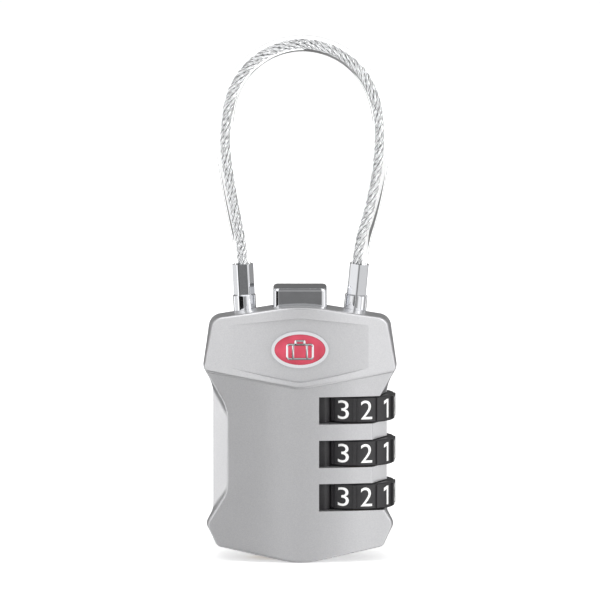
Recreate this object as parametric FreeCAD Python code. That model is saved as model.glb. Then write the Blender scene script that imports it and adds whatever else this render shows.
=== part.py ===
import FreeCAD, Part
import math
import os
from FreeCAD import Vector

# Cable luggage lock, in millimetres. +X is to the right, -Y is the front face and +Z is up, towards
# the cable. The origin is under the middle of the casing, at the height of its lowest point.

# ---- driving dimensions ----

# casing
FRONT_Y, FACE_Y, MIDDLE_Y, BACK_Y = -8.6, -5.9, -0.5, 7.9
PARTING_Y = 3.0
FRONT_LEAN, FRONT_RADIUS = math.radians(12.5), 45    # the front curves back to this on each side
CAVITY_SLOPE = math.tan(math.radians(9.5))    # each half of the cavity's front falls back this much
HEAD_LINE_Z, HEAD_LINE_RISE = 29.2, 0.17      # lower edge of the raised head: a shallow V
HEAD_RIDGE = ((29.2, -7.9), (42.6, -7.2))     # (z, y) of the centre ridge, low and high
BODY_RIDGE = ((0.0, -7.1), (30.0, -7.5))
RIM_RADIUS, BACK_RADIUS = 0.4, 1.2
PANEL_Y, PANEL_LEAN, PANEL_RADIUS = -7.28, math.radians(7.8), 80    # the badge's panel, bowed less
WALL, BACK_WALL = 1.2, 1.0
CAVITY_HALF_WIDTH, HEAD_CAVITY_HALF_WIDTH = 11.2, 11.8
HEAD_CAVITY_FRONT = -4.2
FLOOR_Z, DECK_Z = 3.0, 28.0                   # cavity floor, and the deck above the dials
CEILING_Z, CEILING_FALL = 41.2, 0.13

# dials
DIAL_X, DIAL_Y = 9.5, 0.2
DIAL_RADIUS, DIGIT_FACE_RADIUS, DIAL_HEIGHT, DIAL_PITCH, MIDDLE_DIAL_Z = 6.6, 6.3, 4.3, 7.3, 18.3
DIGITS, RIB_ANGLE, RIB_WIDTH = 10, -3.5, 0.5
SLOT_RADIUS, SLOT_HEIGHT, WINDOW_LEFT = 6.85, 4.6, 3.17
WEB_BACK_Y, SLEEVE_NOTCH_RADIUS = -1.3, 4.05
DIAL_BORE, DIAL_TOOTH_BORE, DIAL_NOTCH = 3.95, 3.3, 3.9
TOOTH_BAND = (-0.2, 1.05)                     # heights from the dial's middle
SLEEVE_RADIUS, SLEEVE_FLANGE_RADIUS, SLEEVE_BORE = 3.2, 3.8, 2.75
SLEEVE_SPAN, SLEEVE_TEETH, GATE = (-4.75, 1.3), (0.0, 0.9), (-0.6, 0.0)
GATE_HOLE, GATE_SLOT_WIDTH = 1.7, 1.4
FORK_SPAN, FORK_GAP = (-4.25, -3.5), 0.1

# cable and its ends
CABLE_DIAMETER = 2.7
SOCKET_X, SOCKET_Z = 9.15, 41.7               # where both ends leave the casing's top
PLUG_LEAN, ANCHOR_LEAN = 5.5, -3.0            # degrees outwards from the vertical
PIN_RADIUS, SOCKET_RADIUS = 1.88, 1.98
FERRULE_TOP_Z, FERRULE_FOOT, CRIMP_START, CRIMP_FLAT = 49.4, 0.4, 2.3, 1.6
# (x, z) of the cable's route in the plane Y=0, from the anchor ferrule to the plug ferrule
CABLE_ROUTE = [
    (-9.553, 49.4), (-9.721, 52.6), (-10.65, 56.8), (-11.5, 61.2), (-12.22, 65.6), (-12.65, 69.2),
    (-12.5, 73.0), (-11.7, 78.0), (-8.9, 82.6), (-4.45, 85.6), (0.85, 86.55), (6.1, 85.25),
    (10.35, 81.95), (12.85, 77.2), (13.65, 72.0), (13.45, 67.0), (12.75, 62.3), (11.7, 57.5),
    (10.238, 53.0), (9.891, 49.4),
]

# button and latch
BUTTON_HALF_X, BUTTON_FRONT_Y, BUTTON_BACK_Y, BUTTON_TOP_Z, BUTTON_SEAT_Z = 4.45, -4.2, 2.5, 45.85, 39.2
FLANGE_HALF_X, FLANGE_FRONT_Y, FLANGE_BACK_Y, FLANGE_TOP_Z = 5.3, -4.6, 3.1, 40.3
STROKE, RESET_STROKE = 2.2, 1.15
RIB_HALF_X, RIB_HALF_Y, WEDGE_HALF_Y, SLIDER_FOOT_Z = 1.2, 1.0, 1.8, 30.4
BASE_Z, BASE_TOP_Z, TOWER_TOP_Z = 35.4, 36.8, 39.4
RETAINER_Z, RETAINER_TOP_Z = 33.0, 33.9
LATCH_Z, LATCH_WIRE, LATCH_LEG_Y = 34.6, 1.0, 1.55
SPINDLE_RADIUS, FIN_RADIUS, FIN_WIDTH, FIN_SPAN = 1.5, 2.6, 1.2, (0.2, 0.9)
BEARING_BORE = 1.56
SPINDLE_FOOT_Z, SPINDLE_SPRING_Z = 7.2, 3.9

# reset and key cylinder
RESET_X, RESET_HOLE_RADIUS, RESET_PIN_RADIUS = 1.5, 1.0, 0.9
RESET_PIN_FOOT_Z, SPINE_FOOT_Z, SPINE_TOP_Z, RESET_SPRING_TOP_Z = 3.3, 5.6, 23.4, 27.0
KEY_X, HOUSING_RADIUS, PLUG_RADIUS = -5.5, 4.2, 2.7
HOUSING_TOP_Z, PLUG_FACE_Z, PLUG_TOP_Z = 18.0, 1.45, 15.0

# badge
BADGE_Z, BADGE_HALF_X, BADGE_HALF_Z, BADGE_RIM = 35.8, 4.8, 3.1, 0.55
BADGE_SEAT_Y = PANEL_Y + 0.35

DIAL_ZS = {name: MIDDLE_DIAL_Z + DIAL_PITCH * step for name, step in
           (("top", 1), ("middle", 0), ("bottom", -1))}
NODES = {}


# ---- shared shapes ----

def box(x0, x1, y0, y1, z0, z1):
    return Part.makeBox(x1 - x0, y1 - y0, z1 - z0, Vector(x0, y0, z0))


def rod(x, y, z0, z1, radius):
    return Part.makeCylinder(radius, z1 - z0, Vector(x, y, z0))


def ring(x, y, z0, z1, outer, inner):
    return rod(x, y, z0, z1, outer).cut(rod(x, y, z0, z1, inner))


def bolt(x, z, y0, y1, radius):
    """A cylinder along Y."""
    return Part.makeCylinder(radius, y1 - y0, Vector(x, y0, z), Vector(0, 1, 0))


def turned(profile):
    """A solid of revolution about Z from (radius, z) corners."""
    wire = Part.makePolygon([Vector(r, 0, z) for r, z in profile + profile[:1]])
    return Part.Face(wire).revolve(Vector(), Vector(0, 0, 1), 360)


def spun(shape, degrees, x=DIAL_X, y=DIAL_Y):
    copy = shape.copy()
    copy.rotate(Vector(x, y, 0), Vector(0, 0, 1), degrees)
    return copy


def slab(corners, place, depth):
    """A prism on a polygon of (a, b) corners."""
    wire = Part.makePolygon([place(a, b) for a, b in corners + corners[:1]])
    return Part.Face(wire).extrude(depth)


def rounded_wire(corners, place):
    """A closed wire through (a, b, radius) corners, each rounded to its radius."""
    points = [Vector(a, b, 0) for a, b, _ in corners]
    arcs = []
    for index, (_, _, radius) in enumerate(corners):
        corner = points[index]
        before = (points[index - 1] - corner).normalize()
        after = (points[(index + 1) % len(points)] - corner).normalize()
        half = math.acos(before.dot(after)) / 2
        reach = radius / math.tan(half)
        inward = (before + after).normalize()
        middle = corner + inward * (radius / math.sin(half) - radius)
        arcs.append([corner + before * reach, middle, corner + after * reach])
    edges = []
    for index, (start, middle, end) in enumerate(arcs):
        if corners[index][2] > 0:
            edges.append(Part.Arc(*[place(v.x, v.y) for v in (start, middle, end)]).toShape())
        following = arcs[(index + 1) % len(arcs)][0]
        edges.append(Part.LineSegment(place(end.x, end.y), place(following.x, following.y)).toShape())
    return Part.Wire(edges)


def spring(x, y, z0, z1, outer, wire, pitch):
    """A compression spring that fills z0 to z1. Its wire has ten sides, and a round wire's area."""
    helix = Part.makeHelix(pitch, z1 - z0 - wire, outer - wire / 2)
    corner = wire / 2 * math.sqrt(math.pi / (5 * math.sin(math.pi / 5)))
    turns = [2 * math.pi * step / 10 for step in range(11)]
    section = Part.makePolygon([Vector(outer - wire / 2 + corner * math.cos(turn), 0,
                                       corner * math.sin(turn)) for turn in turns])
    coil = Part.Wire(helix).makePipeShell([section], True, True)
    coil.translate(Vector(x, y, z0 + wire / 2))
    return coil


def leaned(shape, side):
    """Moves a shape built up the Z axis onto the plug's axis (side 1) or the anchor's (side -1)."""
    copy = shape.copy()
    copy.rotate(Vector(), Vector(0, 1, 0), PLUG_LEAN if side > 0 else ANCHOR_LEAN)
    copy.translate(Vector(side * SOCKET_X, 0, SOCKET_Z))
    return copy


def along_axis(side, z):
    """The distance up the plug's or the anchor's axis at height z, from where it meets the top."""
    lean = PLUG_LEAN if side > 0 else ANCHOR_LEAN
    return (z - SOCKET_Z) / math.cos(math.radians(lean))


# ---- casing ----

# Half outlines in the X-Z plane, (x, z, corner radius), from the middle of the top to the middle
# of the bottom. The waist is where the sides draw in beside the dials.
MIDDLE_OUTLINE = [(0, 43.3, 30), (14.95, 40.9, 2.2), (16.15, 32.5, 0.8), (14.5, 28.9, 5),
                  (14.5, 8.3, 3), (15.75, 5.9, 1.6), (14.0, 2.4, 1.2), (0, -0.27, 15)]
FACE_OUTLINE = [(0, 43.35, 30), (14.35, 40.9, 2.0), (16.0, 32.5, 0.7), (12.0, 25.6, 7),
                (12.0, 12.2, 4), (15.5, 6.4, 1.8), (13.8, 2.6, 1.2), (0, -0.27, 15)]
BACK_OUTLINE = [(0, 42.2, 30), (14.3, 39.8, 2.2), (15.4, 32.5, 1.2), (13.9, 28.9, 5),
                (13.9, 8.3, 3), (15.1, 5.9, 1.6), (13.4, 2.9, 1.4), (0, 0.3, 15)]


def outline_wire(half, y):
    left = [(-x, z, radius) for x, z, radius in reversed(half) if x > 0]
    return rounded_wire(half + left, lambda a, b: Vector(a, y, b))


def between(low, high, value):
    """The y of a line through two (z, y) points, at a height."""
    return low[1] + (high[1] - low[1]) * (value - low[0]) / (high[0] - low[0])


def prow(ridge, inset, ridge_radius, slope, z0, z1):
    """Everything behind a front that comes to a rounded vertical ridge in the middle."""
    wires = []
    for z in (z0, z1):
        front = between(*ridge, z) + inset
        side = front + 20 * slope
        corners = [(0, front, ridge_radius), (20, side, 0), (20, 12, 0), (-20, 12, 0), (-20, side, 0)]
        wires.append(rounded_wire(corners, lambda a, b, z=z: Vector(a, b, z)))
    return Part.makeLoft(wires, True, True)


def bowed_prow(ridge, z0, z1):
    """Everything behind the casing's bowed front, which just reaches the ridge line."""
    beyond = FRONT_RADIUS / math.cos(FRONT_LEAN) - FRONT_RADIUS
    return prow(ridge, -beyond, FRONT_RADIUS, math.tan(FRONT_LEAN), z0, z1)


def above_head_line():
    side = HEAD_LINE_Z + 20 * HEAD_LINE_RISE
    corners = [(0, HEAD_LINE_Z, 8), (20, side, 0), (20, 60, 0), (-20, 60, 0), (-20, side, 0)]
    wire = rounded_wire(corners, lambda a, b: Vector(a, -12, b))
    return Part.Face(wire).extrude(Vector(0, 30, 0))


def front_rim(shape):
    """The edges round a front piece, between its front faces and its sides."""
    def faces_front(face):
        u0, u1, v0, v1 = face.ParameterRange
        return face.normalAt((u0 + u1) / 2, (v0 + v1) / 2).y < -0.9

    rim = []
    for edge in shape.Edges:
        owners = [face for face in shape.Faces if any(other.isSame(edge) for other in face.Edges)]
        if edge.CenterOfMass.y < -3.5 and sum(faces_front(face) for face in owners) == 1:
            rim.append(edge)
    return rim


def panel_tool():
    """The recess in the head that holds the badge. Its upper and lower walls slope, and its floor
    is bowed less than the front, so that it runs out into it at both ends."""
    def wire(y, spread):
        top, low = 40.9 + 0.3 * spread, 30.6 - spread
        corners = [(0, top, 6), (20, top - 1.9, 0), (20, low + 3.4, 0), (0, low, 6),
                   (-20, low + 3.4, 0), (-20, top - 1.9, 0)]
        return rounded_wire(corners, lambda a, b: Vector(a, y, b))

    tool = Part.makeLoft([wire(-5.6, -0.44), wire(-9.1, 0.85)], True, True)
    corner = PANEL_Y + PANEL_RADIUS - PANEL_RADIUS / math.cos(PANEL_LEAN)
    end = corner + 30 * math.tan(PANEL_LEAN)
    floor = [(0, corner, PANEL_RADIUS), (30, end, 0), (30, 5, 0), (-30, 5, 0), (-30, end, 0)]
    plinth = Part.Face(rounded_wire(floor, lambda a, b: Vector(a, b, 20))).extrude(Vector(0, 0, 30))
    tool = tool.cut(plinth)
    tool.rotate(Vector(0, -6.1, HEAD_LINE_Z), Vector(1, 0, 0), -3)
    return tool


def casing_blank():
    """The closed outer shape of both casing halves together."""
    stretch = (MIDDLE_Y - FRONT_Y) / (MIDDLE_Y - FACE_Y)
    front_outline = [tuple(m + (f - m) * stretch for m, f in zip(middle, face))
                     for middle, face in zip(MIDDLE_OUTLINE, FACE_OUTLINE)]
    front = Part.makeLoft([outline_wire(front_outline, FRONT_Y),
                           outline_wire(MIDDLE_OUTLINE, MIDDLE_Y)], True, True)
    back = Part.makeLoft([outline_wire(MIDDLE_OUTLINE, MIDDLE_Y),
                          outline_wire(BACK_OUTLINE, BACK_Y)], True, True)
    back = back.makeFillet(BACK_RADIUS, [edge for edge in back.Edges if edge.BoundBox.YMin > BACK_Y - 0.01])
    head = front.common(bowed_prow(HEAD_RIDGE, 20, 50)).common(above_head_line())
    head = head.makeFillet(RIM_RADIUS, front_rim(head))
    body = front.common(bowed_prow(BODY_RIDGE, -5, 50)).cut(above_head_line())
    rim = [edge for edge in front_rim(body) if edge.BoundBox.ZMin < 28.9]
    body = body.makeFillet(RIM_RADIUS, rim)
    return head.fuse([body, back]).cut(panel_tool())


def dial_slots():
    """Round slots for the dials, open to the front right as windows."""
    tools = []
    for z in DIAL_ZS.values():
        low, high = z - SLOT_HEIGHT / 2, z + SLOT_HEIGHT / 2
        tools.append(rod(DIAL_X, DIAL_Y, low, high, SLOT_RADIUS))
        tools.append(box(WINDOW_LEFT, 20, -12, 0, low, high))
    return tools


def cavities():
    """The space inside both casing halves."""
    inner = prow(BODY_RIDGE, WALL, 2.4, CAVITY_SLOPE, -5, 50)
    left_bay = box(-CAVITY_HALF_WIDTH, 2.2, -12, BACK_Y - BACK_WALL, FLOOR_Z, DECK_Z).common(inner)
    right_bay = box(2.1, 13.0, WEB_BACK_Y, BACK_Y - BACK_WALL, 6.0, DECK_Z)
    comb_bay = box(0, 2.8, WEB_BACK_Y, BACK_Y - BACK_WALL, FLOOR_Z, DECK_Z)
    notch = rod(DIAL_X, DIAL_Y, 6.0, DECK_Z + 0.3, SLEEVE_NOTCH_RADIUS)
    bearing_bay = box(7.1, 11.4, -2.0, 2.6, FLOOR_Z, 6.1)
    ceiling = [(-HEAD_CAVITY_HALF_WIDTH, DECK_Z), (HEAD_CAVITY_HALF_WIDTH, DECK_Z),
               (HEAD_CAVITY_HALF_WIDTH, CEILING_Z - CEILING_FALL * HEAD_CAVITY_HALF_WIDTH),
               (0, CEILING_Z),
               (-HEAD_CAVITY_HALF_WIDTH, CEILING_Z - CEILING_FALL * HEAD_CAVITY_HALF_WIDTH)]
    head_bay = slab(ceiling, lambda a, b: Vector(a, HEAD_CAVITY_FRONT, b),
                    Vector(0, BACK_Y - BACK_WALL - HEAD_CAVITY_FRONT, 0))
    # room in front for the button's flange, down to its lowest place
    flange_bay = box(-FLANGE_HALF_X - 0.2, FLANGE_HALF_X + 0.2, FLANGE_FRONT_Y - 0.2, HEAD_CAVITY_FRONT + 0.1,
                     BUTTON_SEAT_Z - STROKE - 0.2, FLANGE_TOP_Z + 0.1)
    return [left_bay, right_bay, comb_bay, notch, bearing_bay, head_bay, flange_bay]


# Screws that hold the casing together: (x, z), driven from the back
CASE_SCREWS = [(-13.2, 34.5), (13.2, 34.5), (-12.4, 4.6), (12.4, 4.6)]


def badge_shape(y0, y1, shrink):
    """An oval prism for the badge, standing along Y."""
    ellipse = Part.Ellipse(Vector(), BADGE_HALF_X - shrink, BADGE_HALF_Z - shrink)
    face = Part.Face(Part.Wire(ellipse.toShape()))
    face.rotate(Vector(), Vector(1, 0, 0), 90)
    face.translate(Vector(0, y1, BADGE_Z))
    prism = face.extrude(Vector(0, y0 - y1, 0))
    prism.rotate(Vector(0, -6.1, HEAD_LINE_Z), Vector(1, 0, 0), -3)
    return prism


def front_shell(blank):
    shell = blank.common(box(-20, 20, -12, PARTING_Y, -5, 60)).cut(cavities() + dial_slots())
    # the shelf that the reset spring pushes against
    shell = shell.fuse(box(RESET_X - 1.3, RESET_X + 1.3, -5.9, 1.0, RESET_SPRING_TOP_Z, DECK_Z).common(blank))
    button_hole = box(-BUTTON_HALF_X - 0.1, BUTTON_HALF_X + 0.1, BUTTON_FRONT_Y - 0.1,
                      BUTTON_BACK_Y + 0.1, 38, 45)
    button_hole = button_hole.makeFillet(1.0, upright_edges(button_hole))
    sockets = [leaned(rod(0, 0, -2.4, 3, SOCKET_RADIUS), side) for side in (-1, 1)]
    screw_holes = [bolt(x, z, -1.2, PARTING_Y, 0.7) for x, z in CASE_SCREWS]
    key_hole = rod(KEY_X, 0, -2, FLOOR_Z, PLUG_RADIUS + 0.1)
    reset_hole = rod(RESET_X, 0, -2, FLOOR_Z, RESET_HOLE_RADIUS)
    pocket = badge_shape(-9.0, BADGE_SEAT_Y, 0)
    return shell.cut([button_hole, key_hole, reset_hole, pocket] + sockets + screw_holes)


def back_cover(blank):
    cover = blank.common(box(-20, 20, PARTING_Y, BACK_Y + 1, -5, 60)).cut(cavities() + dial_slots())
    # ledges between the dials, and pads that hold the key cylinder and the socket block in place
    ledges = [box(3.5, 12.6, 5.2, BACK_Y - BACK_WALL + 0.1, z - DIAL_PITCH + SLOT_HEIGHT / 2 + 0.1,
                  z - SLOT_HEIGHT / 2 - 0.1) for z in list(DIAL_ZS.values())[:2]]
    saddle = [box(KEY_X - 2, KEY_X + 2, HOUSING_RADIUS + 0.02, BACK_Y - BACK_WALL + 0.1, z, z + 1)
              for z in (7.0, 14.0)]
    pads = [box(side * 9 - 1.6, side * 9 + 1.6, 2.95, BACK_Y - BACK_WALL + 0.1, BASE_Z + 0.2, BASE_TOP_Z)
            for side in (-1, 1)]
    cover = cover.fuse(ledges + saddle + pads)
    for x, z in CASE_SCREWS:
        cover = cover.cut(bolt(x, z, PARTING_Y - 1, BACK_Y - 0.9, 0.75))
        cover = cover.cut(bolt(x, z, BACK_Y - 0.9, BACK_Y + 1, 1.2))
    return cover


def upright_edges(shape):
    return [edge for edge in shape.Edges
            if edge.BoundBox.ZLength > 1 and edge.BoundBox.XLength + edge.BoundBox.YLength < 0.01]


def case_screws():
    screws = []
    for x, z in CASE_SCREWS:
        head = bolt(x, z, BACK_Y - 0.9, BACK_Y - 0.25, 1.1)
        slots = [box(x - 0.7, x + 0.7, BACK_Y - 0.6, BACK_Y, z - 0.13, z + 0.13),
                 box(x - 0.13, x + 0.13, BACK_Y - 0.6, BACK_Y, z - 0.7, z + 0.7)]
        screws.append(bolt(x, z, -1.1, BACK_Y - 0.8, 0.65).fuse(head).cut(slots))
    return Part.makeCompound(screws)


def badge():
    rim = badge_shape(PANEL_Y - 0.4, BADGE_SEAT_Y, 0.02).cut(badge_shape(PANEL_Y - 0.4, BADGE_SEAT_Y, BADGE_RIM))
    enamel = badge_shape(PANEL_Y - 0.2, BADGE_SEAT_Y, BADGE_RIM)
    return enamel, rim


# ---- cable and its ends ----

def anchor_parts():
    foot = along_axis(-1, 37.1)
    groove = along_axis(-1, 38.2)
    pin = turned([(0, foot), (PIN_RADIUS - 0.2, foot), (PIN_RADIUS, foot + 0.2), (PIN_RADIUS, groove),
                  (1.2, groove), (1.2, groove + 0.5), (PIN_RADIUS, groove + 0.5),
                  (PIN_RADIUS, FERRULE_FOOT), (1.2, FERRULE_FOOT), (1.2, 2.0), (0, 2.0)])
    clip = ring(0, 0, groove + 0.03, groove + 0.47, 2.45, 1.2)
    clip = clip.cut(box(-0.8, 0.8, 0, 3, groove - 1, groove + 1))
    return leaned(pin, -1), leaned(clip, -1)


def plug_pin():
    neck_low, neck_high = along_axis(1, 34.0), along_axis(1, 35.25)
    foot = along_axis(1, 31.9)
    pin = turned([(0, foot), (0.7, foot), (1.45, foot + 1.0), (1.45, neck_low), (1.0, neck_low),
                  (1.0, neck_high), (PIN_RADIUS, neck_high + 0.5), (PIN_RADIUS, FERRULE_FOOT),
                  (1.2, FERRULE_FOOT), (1.2, 2.0), (0, 2.0)])
    return leaned(pin, 1)


def ferrule(side):
    """A round foot with a hexagonal crimp above it, closed on the cable's end."""
    top = along_axis(side, FERRULE_TOP_Z)
    sleeve = rod(0, 0, FERRULE_FOOT, top, PIN_RADIUS).cut(rod(0, 0, FERRULE_FOOT, 2.0, 1.2))
    profile = [(CRIMP_FLAT, CRIMP_START + 0.35), (2.2, CRIMP_START - 0.1), (2.2, top + 1), (CRIMP_FLAT, top + 1)]
    die = slab(profile, lambda a, b: Vector(a, -2, b), Vector(0, 4, 0))
    # the anchor's crimp has a flat to the front, and the plug's a corner
    first = 0 if side > 0 else 30
    sleeve = sleeve.cut([spun(die, first + 60 * turn, 0, 0) for turn in range(6)])
    rounding = ring(0, 0, CRIMP_START + 0.2, top + 1, 3, PIN_RADIUS - 0.12)
    return leaned(sleeve.cut(rounding), side)


def cable():
    """Straight runs joined by tangent arcs, as large as the runs allow."""
    points = [Vector(x, 0, z) for x, z in CABLE_ROUTE]
    edges, radii = [], []
    start = points[0]
    for before, corner, after in zip(points, points[1:], points[2:]):
        back, ahead = before - corner, after - corner
        half_turn = (math.pi - back.getAngle(ahead)) / 2
        reach = 0.45 * min(back.Length, ahead.Length)
        radius = reach / math.tan(half_turn)
        back.normalize()
        ahead.normalize()
        enter, leave = corner + back * reach, corner + ahead * reach
        inward = (back + ahead).normalize()
        centre = corner + inward * (radius / math.cos(half_turn))
        edges.append(Part.LineSegment(start, enter).toShape())
        edges.append(Part.Arc(enter, centre - inward * radius, leave).toShape())
        radii.append(round(radius, 1))
        start = leave
    edges.append(Part.LineSegment(start, points[-1]).toShape())
    path = Part.Wire(edges)
    section = Part.Wire(Part.makeCircle(CABLE_DIAMETER / 2, points[0], points[1] - points[0]))
    tube = path.makePipeShell([section], True, True)
    print("cable radii", radii)
    print("cable length", round(path.Length, 2), "volume", round(tube.Volume, 2), "section x length",
          round(math.pi * CABLE_DIAMETER ** 2 / 4 * path.Length, 2))
    return tube


# ---- button, slider and latch ----

def release_button():
    button = box(-BUTTON_HALF_X, BUTTON_HALF_X, BUTTON_FRONT_Y, BUTTON_BACK_Y, BUTTON_SEAT_Z, BUTTON_TOP_Z)
    button = button.makeFillet(0.9, upright_edges(button))
    button = button.makeFillet(0.55, [edge for edge in button.Edges if edge.BoundBox.ZMin > BUTTON_TOP_Z - 0.01])
    flange = box(-FLANGE_HALF_X, FLANGE_HALF_X, FLANGE_FRONT_Y, FLANGE_BACK_Y, BUTTON_SEAT_Z, FLANGE_TOP_Z)
    pockets = [rod(x, 0, BUTTON_SEAT_Z, 43.0, 1.25) for x in (-2.8, 2.8)]
    stem = box(-RIB_HALF_X, RIB_HALF_X, -RIB_HALF_Y, RIB_HALF_Y, BUTTON_SEAT_Z, 41.5)
    return button.fuse(flange).cut(pockets + [stem])


def release_slider():
    """A stem with a wedge that spreads the latch, and an arm that pushes the spindle."""
    flank = [(-RIB_HALF_Y, SLIDER_FOOT_Z), (RIB_HALF_Y, SLIDER_FOOT_Z), (RIB_HALF_Y, 35.3),
             (WEDGE_HALF_Y, BASE_TOP_Z), (WEDGE_HALF_Y, BUTTON_SEAT_Z), (RIB_HALF_Y, BUTTON_SEAT_Z),
             (RIB_HALF_Y, 41.5), (-RIB_HALF_Y, 41.5), (-RIB_HALF_Y, BUTTON_SEAT_Z),
             (-WEDGE_HALF_Y, BUTTON_SEAT_Z), (-WEDGE_HALF_Y, BASE_TOP_Z), (-RIB_HALF_Y, 35.3)]
    stem = slab(flank, lambda a, b: Vector(-RIB_HALF_X, a, b), Vector(2 * RIB_HALF_X, 0, 0))
    arm = box(-RIB_HALF_X, 11.2, -1.6, 2.0, SLIDER_FOOT_Z, SLIDER_FOOT_Z + 1.2)
    return stem.fuse(arm)


def spindle():
    """A shaft with one fin for each code sleeve, pushed down by the slider."""
    shaft = rod(DIAL_X, DIAL_Y, SPINDLE_FOOT_Z, SLIDER_FOOT_Z, SPINDLE_RADIUS)
    fins = []
    for z in DIAL_ZS.values():
        fin = box(DIAL_X - FIN_WIDTH / 2, DIAL_X + FIN_WIDTH / 2, DIAL_Y - 3, DIAL_Y,
                  z + FIN_SPAN[0], z + FIN_SPAN[1])
        fins.append(fin.common(rod(DIAL_X, DIAL_Y, z, z + 2, FIN_RADIUS)))
    return shaft.fuse(fins)


def lower_bearing():
    block = box(7.2, 11.3, -1.9, 2.3, FLOOR_Z, 6.0)
    boss = rod(DIAL_X, DIAL_Y, 6.0, 8.5, 2.4)
    return block.fuse(boss).cut(rod(DIAL_X, DIAL_Y, SPINDLE_SPRING_Z, 9, BEARING_BORE))


def hairpin_latch():
    """One spring wire bent into two legs that lie in the plug's neck."""
    bend_x, tip_x = -6.9, 10.5
    legs = [Vector(tip_x, LATCH_LEG_Y, LATCH_Z), Vector(bend_x, LATCH_LEG_Y, LATCH_Z),
            Vector(bend_x - LATCH_LEG_Y, 0, LATCH_Z), Vector(bend_x, -LATCH_LEG_Y, LATCH_Z),
            Vector(tip_x, -LATCH_LEG_Y, LATCH_Z)]
    path = Part.Wire([Part.LineSegment(legs[0], legs[1]).toShape(),
                      Part.Arc(legs[1], legs[2], legs[3]).toShape(),
                      Part.LineSegment(legs[3], legs[4]).toShape()])
    section = Part.Wire(Part.makeCircle(LATCH_WIRE / 2, legs[0], Vector(1, 0, 0)))
    return path.makePipeShell([section], True, True)


# Screws that hold the retainer under the socket block
FRAME_SCREWS = [(-10.4, 0.0), (4.4, 0.0)]


def socket_block():
    """A base plate over the latch with a tower round each end of the cable."""
    block = box(-11.6, 11.6, -3.6, 2.9, BASE_Z, BASE_TOP_Z)
    towers = [box(-11.6, -6.2, -3.6, 2.9, BASE_TOP_Z, TOWER_TOP_Z),
              box(6.2, 11.6, -3.6, 2.9, BASE_TOP_Z, TOWER_TOP_Z)]
    slot = box(-RIB_HALF_X - 0.15, RIB_HALF_X + 0.15, -2.0, 2.0, BASE_Z, BASE_TOP_Z)
    bores = [leaned(rod(0, 0, along_axis(1, BASE_Z) - 1, 0, SOCKET_RADIUS), 1),
             leaned(rod(0, 0, along_axis(-1, 37.0), 0, SOCKET_RADIUS), -1)]
    clip_slot = leaned(box(-2.6, 2.6, -2.6, 4, along_axis(-1, 38.15), along_axis(-1, 38.75)), -1)
    taps = [rod(x, y, BASE_Z, BASE_TOP_Z - 0.3, 0.5) for x, y in FRAME_SCREWS]
    return block.fuse(towers).cut([slot, clip_slot] + bores + taps)


def latch_retainer():
    plate = box(-11.6, 11.6, -3.4, 2.9, RETAINER_Z, RETAINER_TOP_Z)
    spacers = [rod(x, y, RETAINER_TOP_Z - 0.1, BASE_Z, 0.85) for x, y in FRAME_SCREWS]
    holes = [box(-RIB_HALF_X - 0.15, RIB_HALF_X + 0.15, -RIB_HALF_Y - 0.65, RIB_HALF_Y + 0.65, 32, 35),
             rod(KEY_X, 0, 32, 35, 1.15),
             leaned(rod(0, 0, along_axis(1, 31), along_axis(1, 35), 1.7), 1)]
    taps = [rod(x, y, RETAINER_Z, BASE_Z, 0.5) for x, y in FRAME_SCREWS]
    return plate.fuse(spacers).cut(holes + taps)


def frame_screws():
    return Part.makeCompound([rod(x, y, RETAINER_Z, BASE_TOP_Z - 0.4, 0.48)
                              .fuse(rod(x, y, RETAINER_Z - 0.55, RETAINER_Z, 0.95))
                              .cut(box(x - 1, x + 1, y - 0.12, y + 0.12, RETAINER_Z - 0.6, RETAINER_Z - 0.3))
                              for x, y in FRAME_SCREWS])


# ---- dials and code sleeves ----

def dial(z):
    low, high = z - DIAL_HEIGHT / 2, z + DIAL_HEIGHT / 2
    body = rod(DIAL_X, DIAL_Y, low, high, DIGIT_FACE_RADIUS)
    body = body.makeChamfer(0.2, [edge for edge in body.Edges if edge.BoundBox.ZLength < 0.01])
    rib = box(DIAL_X - RIB_WIDTH / 2, DIAL_X + RIB_WIDTH / 2, DIAL_Y - DIAL_RADIUS, DIAL_Y - 5.5,
              low + 0.25, high - 0.25)
    step = 360 / DIGITS
    body = body.fuse([spun(rib, RIB_ANGLE + step * index) for index in range(DIGITS)])
    bore = [rod(DIAL_X, DIAL_Y, low, z + TOOTH_BAND[0], DIAL_BORE),
            rod(DIAL_X, DIAL_Y, z + TOOTH_BAND[0], z + TOOTH_BAND[1], DIAL_TOOTH_BORE),
            rod(DIAL_X, DIAL_Y, z + TOOTH_BAND[1], high, DIAL_BORE)]
    notch = box(DIAL_X - 0.55, DIAL_X + 0.55, DIAL_Y - DIAL_NOTCH, DIAL_Y, low, high)
    return body.cut(bore + [spun(notch, step * index) for index in range(DIGITS)])


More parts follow.
